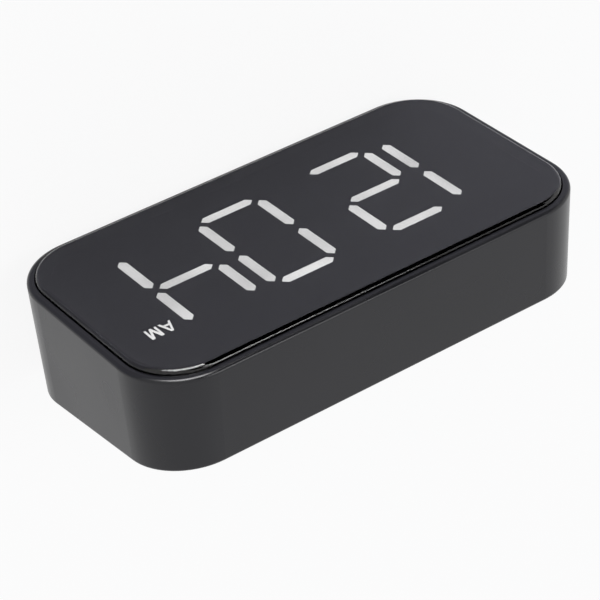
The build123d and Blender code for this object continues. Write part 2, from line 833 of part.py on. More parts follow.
# Flat cable: a run from each socket, joined by one wide bend
ribbon_plane = Plane(origin=face.from_local_coords((ribbon_x, 0, 0)), x_dir=face.y_dir, z_dir=(1, 0, 0))
back_tilt = atan(back_slope)
ribbon_start = Vector(display_socket_y - socket_depth / 2, display_board_back - socket_height / 2)
ribbon_bend_start = ribbon_start - Vector(ribbon_run, 0)
ribbon_end_world = back.from_local_coords(
    (ribbon_x, control_socket_y - socket_depth / 2, control_board_far + socket_height / 2)
)
ribbon_end_local = ribbon_plane.to_local_coords(ribbon_end_world)
ribbon_end = Vector(ribbon_end_local.X, ribbon_end_local.Y)
ribbon_drop = (ribbon_start.Y - ribbon_end.Y) * cos(back_tilt)
ribbon_lead = (ribbon_bend_start.X - ribbon_end.X) * sin(back_tilt)
ribbon_radius = (ribbon_drop + ribbon_lead) / (1 + cos(back_tilt))
ribbon_centre = ribbon_bend_start - Vector(0, ribbon_radius)
ribbon_outer = ribbon_centre - Vector(cos(back_tilt / 2), sin(back_tilt / 2)) * ribbon_radius
ribbon_bend_end = ribbon_centre + Vector(sin(back_tilt), -cos(back_tilt)) * ribbon_radius
with BuildPart() as link_ribbon:
    with BuildLine(ribbon_plane) as ribbon_path:
        Line(tuple(ribbon_start), tuple(ribbon_bend_start))
        ThreePointArc(tuple(ribbon_bend_start), tuple(ribbon_outer), tuple(ribbon_bend_end))
        Line(tuple(ribbon_bend_end), tuple(ribbon_end))
    ribbon_mouth = ribbon_plane.from_local_coords(ribbon_start)
    with BuildSketch(Plane(origin=ribbon_mouth, x_dir=(1, 0, 0), z_dir=-face.y_dir)):
        Rectangle(ribbon_width, ribbon_thickness)
    sweep(path=ribbon_path.wires()[0])
link_ribbon.part.label = "link_ribbon"
export_step(link_ribbon.part, "parts/link_ribbon.step")

# Time-keeping chip, crystal and capacitors on the face side of the control board
with BuildPart() as control_chip:
    with BuildSketch(back.offset(control_board_far)):
        with Locations((chip_x, control_board_y)):
            Rectangle(chip_size, chip_size)
    extrude(amount=chip_height)
control_chip.part.label = "control_chip"
export_step(control_chip.part, "parts/control_chip.step")

crystal_level = control_board_far + crystal_diameter / 2
crystal_plane = Plane(
    origin=back.from_local_coords((crystal_x - crystal_length / 2, control_board_y, crystal_level)),
    x_dir=back.y_dir, z_dir=(1, 0, 0),
)
with BuildPart() as clock_crystal:
    with BuildSketch(crystal_plane):
        Circle(crystal_diameter / 2)
    extrude(amount=crystal_length)
clock_crystal.part.label = "clock_crystal"
export_step(clock_crystal.part, "parts/clock_crystal.step")

with BuildPart() as capacitors:
    with BuildSketch(back.offset(control_board_far)):
        with Locations((capacitor_x, control_board_y)):
            with GridLocations(0, capacitor_pitch, 1, 2):
                Circle(capacitor_diameter / 2)
    extrude(amount=capacitor_height)
capacitors.part.label = "capacitors"
export_step(capacitors.part, "parts/capacitors.step")

# Switch bodies, each with a well for its plunger
with BuildPart() as tact_switches:
    with BuildSketch(back.offset(switch_near)):
        with Locations([(x, button_row_y) for x in button_xs]):
            Rectangle(switch_size, switch_size)
    extrude(amount=switch_height)
    with BuildSketch(back.offset(switch_near)):
        with Locations([(x, button_row_y) for x in button_xs]):
            Circle(plunger_diameter / 2 + plunger_gap)
    extrude(amount=plunger_sunk + 2 * button_travel, mode=Mode.SUBTRACT)
tact_switches.part.label = "tact_switches"
export_step(tact_switches.part, "parts/tact_switches.step")

# Button caps and the plungers under them
for button_name, button_x in zip(button_names, button_xs):
    with BuildPart() as cap:
        with BuildSketch(back.offset(recess_depth - button_proud)):
            with Locations((button_x, button_row_y)):
                Circle(button_diameter / 2)
        extrude(amount=flange_near + button_proud - recess_depth)
        cap_rim = cap.faces().sort_by(lambda f: (f.center() - back.origin).dot(back.z_dir))[0]
        fillet(cap_rim.edges(), button_edge_radius)
        with BuildSketch(back.offset(flange_near)):
            with Locations((button_x, button_row_y)):
                Circle(button_diameter / 2 + button_flange)
        extrude(amount=button_flange_thickness)
        with BuildSketch(back.offset(recess_depth - button_proud)):
            with Locations((button_x, button_row_y)):
                Circle(button_diameter / 4)
        extrude(amount=button_dish_depth, mode=Mode.SUBTRACT)
    cap.part.label = f"{button_name}_button"
    export_step(cap.part, f"parts/{button_name}_button.step")

    with BuildPart() as plunger:
        with BuildSketch(back.offset(plunger_near)):
            with Locations((button_x, button_row_y)):
                Circle(plunger_diameter / 2)
        extrude(amount=switch_air + plunger_sunk)
    plunger.part.label = f"{button_name}_plunger"
    export_step(plunger.part, f"parts/{button_name}_plunger.step")

# Supply inlet: a drawn shell round a contact tongue, both on a moulded base
shell_near = inlet_recess_depth + contact_gap
with BuildPart() as power_socket:
    with BuildSketch(back.offset(shell_near)):
        with Locations((inlet_x, button_row_y)):
            SlotOverall(shell_width, shell_height)
    extrude(amount=control_board_near - shell_near)
    with BuildSketch(back.offset(shell_near)):
        with Locations((inlet_x, button_row_y)):
            SlotOverall(shell_width - 2 * shell_wall, shell_height - 2 * shell_wall)
    extrude(amount=control_board_near - shell_near - shell_base, mode=Mode.SUBTRACT)
power_socket.part.label = "power_socket"
export_step(power_socket.part, "parts/power_socket.step")

with BuildPart() as socket_tongue:
    with BuildSketch(back.offset(shell_near + tongue_set_back)):
        with Locations((inlet_x, button_row_y)):
            Rectangle(tongue_width, tongue_thickness)
    extrude(amount=control_board_near - shell_near - shell_base - tongue_set_back)
socket_tongue.part.label = "socket_tongue"
export_step(socket_tongue.part, "parts/socket_tongue.step")

# Buzzer
buzzer_near = control_board_near - buzzer_height
with BuildPart() as buzzer:
    with BuildSketch(back.offset(buzzer_near)):
        with Locations((buzzer_x, button_row_y)):
            Circle(buzzer_diameter / 2)
    extrude(amount=buzzer_height)
    with BuildSketch(back.offset(buzzer_near)):
        with Locations((buzzer_x, button_row_y)):
            Circle(buzzer_port_diameter / 2)
    extrude(amount=buzzer_port_depth, mode=Mode.SUBTRACT)
buzzer.part.label = "buzzer"
export_step(buzzer.part, "parts/buzzer.step")

# Battery door
with BuildPart() as battery_door:
    with BuildSketch(back.offset(contact_gap)):
        with Locations((0, bay_mid_y)):
            RectangleRounded(door_width, door_height, door_corner_radius)
    extrude(amount=door_thickness)
    tab_xs = (-tab_spacing / 2, tab_spacing / 2)
    tab_low = hinge_y - tab_reach
    tab_high = bay_low + door_gap + tab_root
    with BuildSketch(back.offset(tab_near)):
        with Locations(*[(x, (tab_low + tab_high) / 2) for x in tab_xs]):
            Rectangle(tab_width, tab_high - tab_low)
    extrude(amount=tab_thickness)
    with BuildSketch(back.offset(door_thickness)):
        with Locations(*[(x, tab_high - tab_root / 2) for x in tab_xs]):
            Rectangle(tab_width, tab_root)
    extrude(amount=tab_far - door_thickness)
    with BuildSketch(back):
        with Locations((0, bay_mid_y + door_height / 2 - tongue_slit_length / 2)):
            with GridLocations(tongue_slit_spacing, 0, 2, 1):
                Rectangle(tongue_slit_width, tongue_slit_length)
    extrude(amount=door_thickness + cut_overrun, mode=Mode.SUBTRACT)
    with BuildSketch(back):
        with Locations((0, bay_mid_y + door_height / 2 - tongue_slit_length / 2)):
            with GridLocations(0, grip_groove_pitch, 1, 3):
                SlotOverall(grip_groove_length, grip_groove_width)
    extrude(amount=contact_gap + grip_groove_depth, mode=Mode.SUBTRACT)
battery_door.part.label = "battery_door"
export_step(battery_door.part, "parts/battery_door.step")

# Cells, laid head to tail
with BuildPart() as aaa_cells:
    for i, y in enumerate(cell_ys):
        direction = 1 if i % 2 else -1
        cell_plane = Plane(
            origin=back.from_local_coords((-direction * (cell_length + cell_nub_length) / 2, y, cell_level)),
            x_dir=back.y_dir, z_dir=(direction, 0, 0),
        )
        with BuildSketch(cell_plane):
            Circle(cell_diameter / 2)
        extrude(amount=cell_length)
        with BuildSketch(cell_plane.offset(cell_length)):
            Circle(cell_nub_diameter / 2)
        extrude(amount=cell_nub_length)
    fillet(aaa_cells.edges().filter_by(GeomType.CIRCLE).group_by(SortBy.RADIUS)[-1], cell_edge_radius)
aaa_cells.part.label = "aaa_cells"
export_step(aaa_cells.part, "parts/aaa_cells.step")


def contact_strip(side, low, high, leaf_ys, tag_y):
    """Stamped strip against one end wall of the bay, with a leaf to each cell and, if asked, a solder tag."""
    wall_x = side * (bay_length / 2 - contact_gap)
    room = bay_contact_room - 2 * contact_gap
    with BuildPart() as strip:
        with BuildSketch(back.offset(cell_level - contact_height / 2)):
            with Locations((wall_x - side * contact_thickness / 2, (low + high) / 2)):
                Rectangle(contact_thickness, high - low)
        extrude(amount=contact_height)
        leaf_plane = Plane(
            origin=back.from_local_coords((wall_x, 0, cell_level)),
            x_dir=(-side, 0, 0),
            z_dir=side * back.y_dir,
        )
        for y in leaf_ys:
            with BuildSketch(leaf_plane.offset(side * y - leaf_width / 2)):
                Polygon(
                    (0, -leaf_base / 2), (contact_thickness, -leaf_base / 2), (room, 0),
                    (contact_thickness, leaf_base / 2), (0, leaf_base / 2),
                    align=None,
                )
            extrude(amount=leaf_width)
        if tag_y is not None:
            with BuildSketch(back.offset(cell_level)):
                with Locations((wall_x - side * contact_thickness / 2, tag_y)):
                    Rectangle(contact_thickness, tag_width)
            extrude(amount=bay_floor_far + tag_length - cell_level)
    return strip.part


# Contacts that bridge two cells
half_strip = contact_width / 2
with BuildPart() as bridge_contacts:
    add(contact_strip(1, cell_ys[0] - half_strip, cell_ys[1] + half_strip, cell_ys[0:2], None))
    add(contact_strip(-1, cell_ys[1] - half_strip, cell_ys[2] + half_strip, cell_ys[1:3], None))
bridge_contacts.part.label = "bridge_contacts"
export_step(bridge_contacts.part, "parts/bridge_contacts.step")

# Contacts at the two ends of the chain, with solder tags through the bay's floor
with BuildPart() as end_contacts:
    add(contact_strip(1, cell_ys[2] - half_strip, cell_ys[2] + half_strip, cell_ys[2:3], cell_ys[2]))
    add(contact_strip(-1, cell_ys[0] - half_strip, cell_ys[0] + half_strip, cell_ys[0:1], cell_ys[0]))
end_contacts.part.label = "end_contacts"
export_step(end_contacts.part, "parts/end_contacts.step")

# Leads: along the bay's floor, then over to the control board
with BuildPart() as battery_leads:
    for side, tag_y in ((1, cell_ys[2]), (-1, cell_ys[0])):
        lead_x = side * (bay_length / 2 - contact_gap - contact_thickness - contact_gap - lead_diameter / 2)
        lead_plane = Plane(origin=back.from_local_coords((lead_x, 0, 0)), x_dir=back.y_dir, z_dir=(1, 0, 0))
        lead_level = bay_floor_far + lead_lift
        with BuildLine(lead_plane) as lead_path:
            FilletPolyline(
                (tag_y - tag_width / 2, lead_level),
                (lead_landing_y, lead_level),
                (lead_landing_y, control_board_far + contact_gap),
                radius=lead_bend_radius,
            )
        lead_start = lead_plane.from_local_coords((tag_y - tag_width / 2, lead_level))
        with BuildSketch(Plane(origin=lead_start, x_dir=(1, 0, 0), z_dir=back.y_dir)):
            Circle(lead_diameter / 2)
        sweep(path=lead_path.wires()[0])
battery_leads.part.label = "battery_leads"
export_step(battery_leads.part, "parts/battery_leads.step")
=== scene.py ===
import json
import math

import bpy
from mathutils import Matrix, Vector


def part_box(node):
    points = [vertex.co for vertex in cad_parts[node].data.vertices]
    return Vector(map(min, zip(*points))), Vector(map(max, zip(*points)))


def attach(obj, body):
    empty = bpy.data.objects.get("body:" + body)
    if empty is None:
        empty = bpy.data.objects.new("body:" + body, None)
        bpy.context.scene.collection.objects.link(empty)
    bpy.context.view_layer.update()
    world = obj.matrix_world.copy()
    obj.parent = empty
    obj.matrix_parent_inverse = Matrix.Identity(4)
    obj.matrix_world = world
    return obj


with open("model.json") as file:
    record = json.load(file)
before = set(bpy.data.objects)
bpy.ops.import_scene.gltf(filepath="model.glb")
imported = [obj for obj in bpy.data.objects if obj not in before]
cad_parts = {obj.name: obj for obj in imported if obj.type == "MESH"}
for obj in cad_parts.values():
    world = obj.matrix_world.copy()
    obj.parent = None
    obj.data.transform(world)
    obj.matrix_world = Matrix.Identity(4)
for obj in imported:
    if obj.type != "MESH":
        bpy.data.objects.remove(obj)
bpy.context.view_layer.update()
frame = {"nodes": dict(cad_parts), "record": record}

# Camera: a long lens above the clock's right shoulder, looking down on the glossy face.
# It is rolled until the way out of the face points up the picture, as in the photograph.
# Places here are given across, up and out of the face, which leans back by two degrees.
face_lean = math.radians(2.0)
face_up = Vector((0, math.sin(face_lean), math.cos(face_lean)))
face_out = Vector((0, -math.cos(face_lean), math.sin(face_lean)))
face_centre = Vector((0, -0.017233, 0.040226))


def face_direction(across, up, out):
    """A direction given in the face's frame, in the row frame."""
    return Vector((across, 0, 0)) + up * face_up + out * face_out


camera_data = bpy.data.cameras.new("camera")
camera_data.sensor_width = 36.0
camera_data.lens = 145.85
camera_data.clip_start = 0.05
camera_data.clip_end = 50.0
camera = bpy.data.objects.new("camera", camera_data)
bpy.context.scene.collection.objects.link(camera)
camera_back = face_direction(0.45426, 0.68374, 0.57109).normalized()
camera_right = face_direction(-0.38058, -0.43067, 0.81834).cross(camera_back).normalized()
camera_turn = Matrix((camera_right, camera_back.cross(camera_right), camera_back)).transposed().to_4x4()
camera_place = face_centre + face_direction(0.31688, 0.47276, 0.37161)
camera.matrix_world = Matrix.Translation(camera_place) @ camera_turn
bpy.context.scene.camera = camera
bpy.context.scene.view_settings.view_transform = "Standard"

# Studio: a painted white table top under an even white sky, which gloss and glass show as white too.
# A dark curtain and canopy, a softbox and a grey card stand out of the camera's sight, for the gloss.
# A strip lamp overhead draws the bright line along the panel's long edge.


def start_material(name, roughness):
    """A material with its Principled node, and its tree for further nodes."""
    material = bpy.data.materials.new(name)
    material.use_nodes = True
    tree = material.node_tree
    surface = tree.nodes["Principled BSDF"]
    surface.inputs["Roughness"].default_value = roughness
    return material, tree, surface


def join(tree, start, end):
    """A link between two sockets."""
    tree.links.new(start, end)


def stage_sheet(name, corners, material):
    """A flat sheet of the studio."""
    mesh = bpy.data.meshes.new(name)
    mesh.from_pydata(corners, [], [(0, 1, 2, 3)])
    mesh.materials.append(material)
    sheet = bpy.data.objects.new(name, mesh)
    bpy.context.scene.collection.objects.link(sheet)
    return sheet


def background_share(tree, share):
    """How white the background is to a ray from the camera, off gloss or through glass."""
    path = tree.nodes.new("ShaderNodeLightPath")
    gloss_or_glass = tree.nodes.new("ShaderNodeMath")
    gloss_or_glass.operation = "MAXIMUM"
    any_of_them = tree.nodes.new("ShaderNodeMath")
    any_of_them.operation = "MAXIMUM"
    whiteness = tree.nodes.new("ShaderNodeMath")
    whiteness.operation = "MULTIPLY"
    whiteness.inputs[1].default_value = share
    join(tree, path.outputs["Is Glossy Ray"], gloss_or_glass.inputs[0])
    join(tree, path.outputs["Is Transmission Ray"], gloss_or_glass.inputs[1])
    join(tree, gloss_or_glass.outputs[0], any_of_them.inputs[0])
    join(tree, path.outputs["Is Camera Ray"], any_of_them.inputs[1])
    join(tree, any_of_them.outputs[0], whiteness.inputs[0])
    return whiteness.outputs[0]


table_paint, tree, surface = start_material("table_paint", 1.0)
surface.inputs["Base Color"].default_value = (0.8, 0.8, 0.8, 1)
surface.inputs["Specular IOR Level"].default_value = 0.0
white_seen = tree.nodes.new("ShaderNodeEmission")
white_seen.inputs["Strength"].default_value = 1.0
table_mix = tree.nodes.new("ShaderNodeMixShader")
table_whiteness = 0.9
join(tree, background_share(tree, table_whiteness), table_mix.inputs[0])
join(tree, surface.outputs[0], table_mix.inputs[1])
join(tree, white_seen.outputs[0], table_mix.inputs[2])
join(tree, table_mix.outputs[0], tree.nodes["Material Output"].inputs["Surface"])
table_half = 6.0
stage_sheet(
    "table_top",
    [
        (-table_half, -table_half, 0), (table_half, -table_half, 0),
        (table_half, table_half, 0), (-table_half, table_half, 0),
    ],
    table_paint,
)

curtain_cloth, tree, surface = start_material("curtain_cloth", 1.0)
surface.inputs["Base Color"].default_value = (0.01, 0.01, 0.01, 1)
surface.inputs["Specular IOR Level"].default_value = 0.0
curtain_y, curtain_left, curtain_right = -1.6, -2.4, 0.35
curtain_foot, curtain_top = 0.02, 1.25
curtain = stage_sheet(
    "curtain",
    [
        (curtain_left, curtain_y, curtain_foot), (curtain_left, curtain_y, curtain_top),
        (curtain_right, curtain_y, curtain_top), (curtain_right, curtain_y, curtain_foot),
    ],
    curtain_cloth,
)
curtain.visible_camera = False
canopy_left, canopy_end, canopy_top = -1.6, -0.48, 1.6
canopy = stage_sheet(
    "canopy",
    [
        (canopy_left, curtain_y, curtain_top), (canopy_left, canopy_end, canopy_top),
        (curtain_right, canopy_end, canopy_top), (curtain_right, curtain_y, curtain_top),
    ],
    curtain_cloth,
)
canopy.visible_camera = False

sky = bpy.data.worlds.new("sky")
sky.use_nodes = True
bpy.context.scene.world = sky
sky_tree = sky.node_tree
sky_light = sky_tree.nodes["Background"]
sky_light.inputs["Color"].default_value = (0.955, 0.96, 1, 1)
sky_light.inputs["Strength"].default_value = 0.86
sky_seen = sky_tree.nodes.new("ShaderNodeBackground")
sky_seen.inputs["Color"].default_value = (1, 1, 1, 1)
sky_mix = sky_tree.nodes.new("ShaderNodeMixShader")
sky_whiteness = 1.0
join(sky_tree, background_share(sky_tree, sky_whiteness), sky_mix.inputs[0])
join(sky_tree, sky_light.outputs[0], sky_mix.inputs[1])
join(sky_tree, sky_seen.outputs[0], sky_mix.inputs[2])
join(sky_tree, sky_mix.outputs[0], sky_tree.nodes["World Output"].inputs["Surface"])


def area_lamp(name, way, distance, width, height, watts):
    """A rectangular lamp that far from the face, turned towards it."""
    lamp_data = bpy.data.lights.new(name, "AREA")
    lamp_data.shape = "RECTANGLE"
    lamp_data.size = width
    lamp_data.size_y = height
    lamp_data.energy = watts
    lamp = bpy.data.objects.new(name, lamp_data)
    bpy.context.scene.collection.objects.link(lamp)
    turn = way.normalized().to_track_quat("Z", "Y").to_matrix().to_4x4()
    lamp.matrix_world = Matrix.Translation(face_centre + distance * way.normalized()) @ turn
    lamp.visible_camera = False


ceiling_way, ceiling_distance = face_direction(-0.277, 0.86, 0.2), 1.388
ceiling_length, ceiling_width, ceiling_watts = 0.83, 0.25, 3.8
area_lamp("ceiling_strip", ceiling_way, ceiling_distance, ceiling_length, ceiling_width, ceiling_watts)

softbox_light, tree, surface = start_material("softbox_light", 1.0)
surface.inputs["Emission Color"].default_value = (1, 1, 1, 1)
surface.inputs["Emission Strength"].default_value = 14.0
softbox_y, softbox_left, softbox_right = -1.0, -0.24, 0.62
softbox_low, softbox_high = 0.15, 0.8
softbox = stage_sheet(
    "softbox",
    [
        (softbox_left, softbox_y, softbox_low), (softbox_left, softbox_y, softbox_high),
        (softbox_right, softbox_y, softbox_high), (softbox_right, softbox_y, softbox_low),
    ],
    softbox_light,
)
softbox.visible_camera = False
softbox.visible_diffuse = False
softbox.visible_shadow = False

card_grey, tree, surface = start_material("card_grey", 1.0)
surface.inputs["Base Color"].default_value = (0.75, 0.745, 0.83, 1)
surface.inputs["Specular IOR Level"].default_value = 0.0
card_left, card_right, card_height = -0.6, 0.6, 0.0005
card_front, card_back = -1.0, -0.021
grey_card = stage_sheet(
    "grey_card",
    [
        (card_left, card_front, card_height), (card_right, card_front, card_height),
        (card_right, card_back, card_height), (card_left, card_back, card_height),
    ],
    card_grey,
)
grey_card.visible_camera = False
grey_card.visible_diffuse = False
grey_card.visible_shadow = False

# Rear case: one moulded tub of black plastic, open at the face, with a fine moulded grain.
# The back carries the button recess, the inlet pocket, the sound holes and the battery bay.
# The grain and the broad sink marks are shared with every other moulding.


def start_group(name, kind, inputs, outputs):
    """A node group with the named sockets, its input node and its output node."""
    group = bpy.data.node_groups.new(name, kind)
    for socket, socket_kind in inputs:
        group.interface.new_socket(socket, in_out="INPUT", socket_type=socket_kind)
    for socket, socket_kind in outputs:
        group.interface.new_socket(socket, in_out="OUTPUT", socket_type=socket_kind)
    return group, group.nodes.new("NodeGroupInput"), group.nodes.new("NodeGroupOutput")


def spread(tree, value, low, high):
    """A noise value, stretched to run from low to high."""
    stretch = tree.nodes.new("ShaderNodeMapRange")
    stretch.inputs["From Min"].default_value = 0.3
    stretch.inputs["From Max"].default_value = 0.7
    stretch.inputs["To Min"].default_value = low
    stretch.inputs["To Max"].default_value = high
    join(tree, value, stretch.inputs["Value"])
    return stretch.outputs["Result"]


def noise(tree, place, scale, detail):
    """A noise over the given place."""
    texture = tree.nodes.new("ShaderNodeTexNoise")
    texture.inputs["Scale"].default_value = scale
    texture.inputs["Detail"].default_value = detail
    join(tree, place, texture.inputs["Vector"])
    return texture.outputs["Fac"]


moulded, group_in, group_out = start_group(
    "moulded_finish",
    "ShaderNodeTree",
    [("Place", "NodeSocketVector"), ("Colour", "NodeSocketColor"), ("Roughness", "NodeSocketFloat")],
    [("Colour", "NodeSocketColor"), ("Roughness", "NodeSocketFloat"), ("Height", "NodeSocketFloat")],
)
sink_scale, grain_scale = 35.0, 3500.0
sinks = noise(moulded, group_in.outputs["Place"], sink_scale, 2.0)
rough_sum = moulded.nodes.new("ShaderNodeMath")
rough_sum.operation = "ADD"
join(moulded, spread(moulded, sinks, -0.03, 0.05), rough_sum.inputs[0])
join(moulded, group_in.outputs["Roughness"], rough_sum.inputs[1])
shade = moulded.nodes.new("ShaderNodeVectorMath")
shade.operation = "SCALE"
join(moulded, group_in.outputs["Colour"], shade.inputs[0])
join(moulded, spread(moulded, sinks, 0.88, 1.12), shade.inputs["Scale"])
join(moulded, shade.outputs["Vector"], group_out.inputs["Colour"])
join(moulded, rough_sum.outputs[0], group_out.inputs["Roughness"])
join(moulded, noise(moulded, group_in.outputs["Place"], grain_scale, 3.0), group_out.inputs["Height"])


def moulded_material(name, colour, roughness, grain_height, gloss=0.5):
    """A plastic or rubber with the shared moulded finish, in a node named finish."""
    material, tree, surface = start_material(name, roughness)
    surface.inputs["Specular IOR Level"].default_value = gloss
    place = tree.nodes.new("ShaderNodeTexCoord")
    finish = tree.nodes.new("ShaderNodeGroup")
    finish.name = "finish"
    finish.node_tree = moulded
    finish.inputs["Colour"].default_value = (*colour, 1)
    finish.inputs["Roughness"].default_value = roughness
    bump = tree.nodes.new("ShaderNodeBump")
    bump.inputs["Strength"].default_value = 1.0
    bump.inputs["Distance"].default_value = grain_height
    join(tree, place.outputs["Object"], finish.inputs["Place"])
    join(tree, finish.outputs["Colour"], surface.inputs["Base Color"])
    join(tree, finish.outputs["Roughness"], surface.inputs["Roughness"])
    join(tree, finish.outputs["Height"], bump.inputs["Height"])
    join(tree, bump.outputs["Normal"], surface.inputs["Normal"])
    return material


def dress(node, material):
    """The material on a CAD node, in place of the one that it came with."""
    mesh = frame["nodes"][node].data
    mesh.materials.clear()
    mesh.materials.append(material)


case_black = moulded_material("case_black", (0.0066, 0.0066, 0.0095), 0.27, 0.000003, gloss=0.4)
dress("rear_case", case_black)
back_rest = next(mount for mount in frame["record"]["mounts"] if mount["name"] == "back_rest")
back_point = Vector(back_rest["pos_m"])
back_out = Vector(back_rest["axis"]).normalized()
back_in = -back_out
back_up = Vector((0, -back_out.z, back_out.y))

# Rubber feet: four soft dark discs of moulded rubber, matt all over.
# They are pressed into sockets in the base.
foot_rubber = moulded_material("foot_rubber", (0.02, 0.02, 0.02), 0.75, 0.00001)
dress("rubber_feet", foot_rubber)

# Buttons: five dished caps of grey plastic standing in the recess, each on a black plunger.
# They snap in from inside and press the switches on the control board.
button_grey = moulded_material("button_grey", (0.075, 0.076, 0.08), 0.38, 0.000003)
plunger_black = moulded_material("plunger_black", (0.02, 0.02, 0.02), 0.4, 0.000003)
for button in ("set", "mode", "alarm", "up", "down"):
    dress(button + "_button", button_grey)
    dress(button + "_plunger", plunger_black)

# Labels: small words printed in white ink on the back, one under each button.
# The ink is a film a hundredth of a millimetre thick.


def middle(node):
    """The middle of a CAD node's box."""
    low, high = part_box(node)
    return (low + high) / 2


def placed_on(origin, up, out):
    """The place of a flat part at the origin, with Y up and Z out of what it lies on."""
    turn = Matrix((up.cross(out), up, out)).transposed().to_4x4()
    return Matrix.Translation(origin) @ turn


label_ink = moulded_material("label_ink", (0.62, 0.62, 0.62), 0.5, 0.000001)
label_size, label_film, label_drop = 0.0026, 0.00001, 0.0085
for button in ("set", "mode", "alarm", "up", "down"):
    words = bpy.data.curves.new(button + "_words", "FONT")
    words.body = button.upper()
    words.align_x = "CENTER"
    words.align_y = "CENTER"
    words.size = label_size
    words.extrude = label_film / 2
    words.resolution_u = 3
    writing = bpy.data.objects.new(button + "_words", words)
    bpy.context.scene.collection.objects.link(writing)
    written = writing.evaluated_get(bpy.context.evaluated_depsgraph_get())
    label_mesh = bpy.data.meshes.new_from_object(written)
    bpy.data.objects.remove(writing)
    over = (middle(button + "_button") - back_point).dot(back_out)
    label_place = middle(button + "_button") - (over - label_film / 2) * back_out - label_drop * back_up
    label_mesh.transform(placed_on(label_place, back_up, back_out))
    label_mesh.materials.clear()
    label_mesh.materials.append(label_ink)
    label = bpy.data.objects.new(button + "_label", label_mesh)
    bpy.context.scene.collection.objects.link(label)
    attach(label, "clock")

# Supply inlet: a drawn and plated steel shell with a black tongue inside, soldered to the board.
# The plating has faint drawing lines and stains, shared with the other plated metal.
plated, group_in, group_out = start_group(
    "plated_finish",
    "ShaderNodeTree",
    [("Place", "NodeSocketVector"), ("Colour", "NodeSocketColor"), ("Roughness", "NodeSocketFloat")],
    [("Colour", "NodeSocketColor"), ("Roughness", "NodeSocketFloat"), ("Height", "NodeSocketFloat")],
)
stain_scale, line_scales = 260.0, (400.0, 6000.0, 6000.0)
stains = noise(plated, group_in.outputs["Place"], stain_scale, 4.0)
drawn = plated.nodes.new("ShaderNodeMapping")
drawn.inputs["Scale"].default_value = line_scales
join(plated, group_in.outputs["Place"], drawn.inputs["Vector"])
rough_sum = plated.nodes.new("ShaderNodeMath")
rough_sum.operation = "ADD"
join(plated, spread(plated, stains, -0.05, 0.1), rough_sum.inputs[0])
join(plated, group_in.outputs["Roughness"], rough_sum.inputs[1])
shade = plated.nodes.new("ShaderNodeVectorMath")
shade.operation = "SCALE"
join(plated, group_in.outputs["Colour"], shade.inputs[0])
join(plated, spread(plated, stains, 1.06, 0.86), shade.inputs["Scale"])
join(plated, shade.outputs["Vector"], group_out.inputs["Colour"])
join(plated, rough_sum.outputs[0], group_out.inputs["Roughness"])
join(plated, noise(plated, drawn.outputs["Vector"], 1.0, 2.0), group_out.inputs["Height"])


def plated_material(name, colour, roughness, line_height):
    """A bright metal with the shared plated finish."""
    material, tree, surface = start_material(name, roughness)
    surface.inputs["Metallic"].default_value = 1.0
    place = tree.nodes.new("ShaderNodeTexCoord")
    finish = tree.nodes.new("ShaderNodeGroup")
    finish.node_tree = plated
    finish.inputs["Colour"].default_value = (*colour, 1)
    finish.inputs["Roughness"].default_value = roughness
    bump = tree.nodes.new("ShaderNodeBump")
    bump.inputs["Strength"].default_value = 1.0
    bump.inputs["Distance"].default_value = line_height
    join(tree, place.outputs["Object"], finish.inputs["Place"])
    join(tree, finish.outputs["Colour"], surface.inputs["Base Color"])
    join(tree, finish.outputs["Roughness"], surface.inputs["Roughness"])
    join(tree, finish.outputs["Height"], bump.inputs["Height"])
    join(tree, bump.outputs["Normal"], surface.inputs["Normal"])
    return material


shell_metal = plated_material("shell_metal", (0.62, 0.61, 0.59), 0.26, 0.000002)
dress("power_socket", shell_metal)
tongue_black = moulded_material("tongue_black", (0.015, 0.015, 0.016), 0.45, 0.000003)
dress("socket_tongue", tongue_black)

# Contacts of the inlet: two rows of gold-plated strips let into the tongue's flat sides.
# Each row is one strip repeated along the tongue's width.
copies, group_in, group_out = start_group(
    "rows_of_copies",
    "GeometryNodeTree",
    [
        ("Copied", "NodeSocketObject"), ("Count", "NodeSocketInt"), ("Pitch", "NodeSocketFloat"),
        ("Side", "NodeSocketFloat"), ("Places", "NodeSocketInt"), ("Place Pitch", "NodeSocketFloat"),
        ("Finish", "NodeSocketMaterial"),
    ],
    [("Geometry", "NodeSocketGeometry")],
)


def centred_line(count, pitch):
    """Points along X, centred on nought, from a count and a pitch."""
    gaps = copies.nodes.new("ShaderNodeMath")
    gaps.operation = "SUBTRACT"
    gaps.inputs[1].default_value = 1.0
    length = copies.nodes.new("ShaderNodeMath")
    length.operation = "MULTIPLY"
    start = copies.nodes.new("ShaderNodeMath")
    start.operation = "MULTIPLY"
    start.inputs[1].default_value = -0.5
    start_place = copies.nodes.new("ShaderNodeCombineXYZ")
    step = copies.nodes.new("ShaderNodeCombineXYZ")
    line = copies.nodes.new("GeometryNodeMeshLine")
    join(copies, count, gaps.inputs[0])
    join(copies, gaps.outputs[0], length.inputs[0])
    join(copies, pitch, length.inputs[1])
    join(copies, length.outputs[0], start.inputs[0])
    join(copies, start.outputs[0], start_place.inputs["X"])
    join(copies, pitch, step.inputs["X"])
    join(copies, count, line.inputs["Count"])
    join(copies, start_place.outputs[0], line.inputs["Start Location"])
    join(copies, step.outputs[0], line.inputs["Offset"])
    return line.outputs["Mesh"]


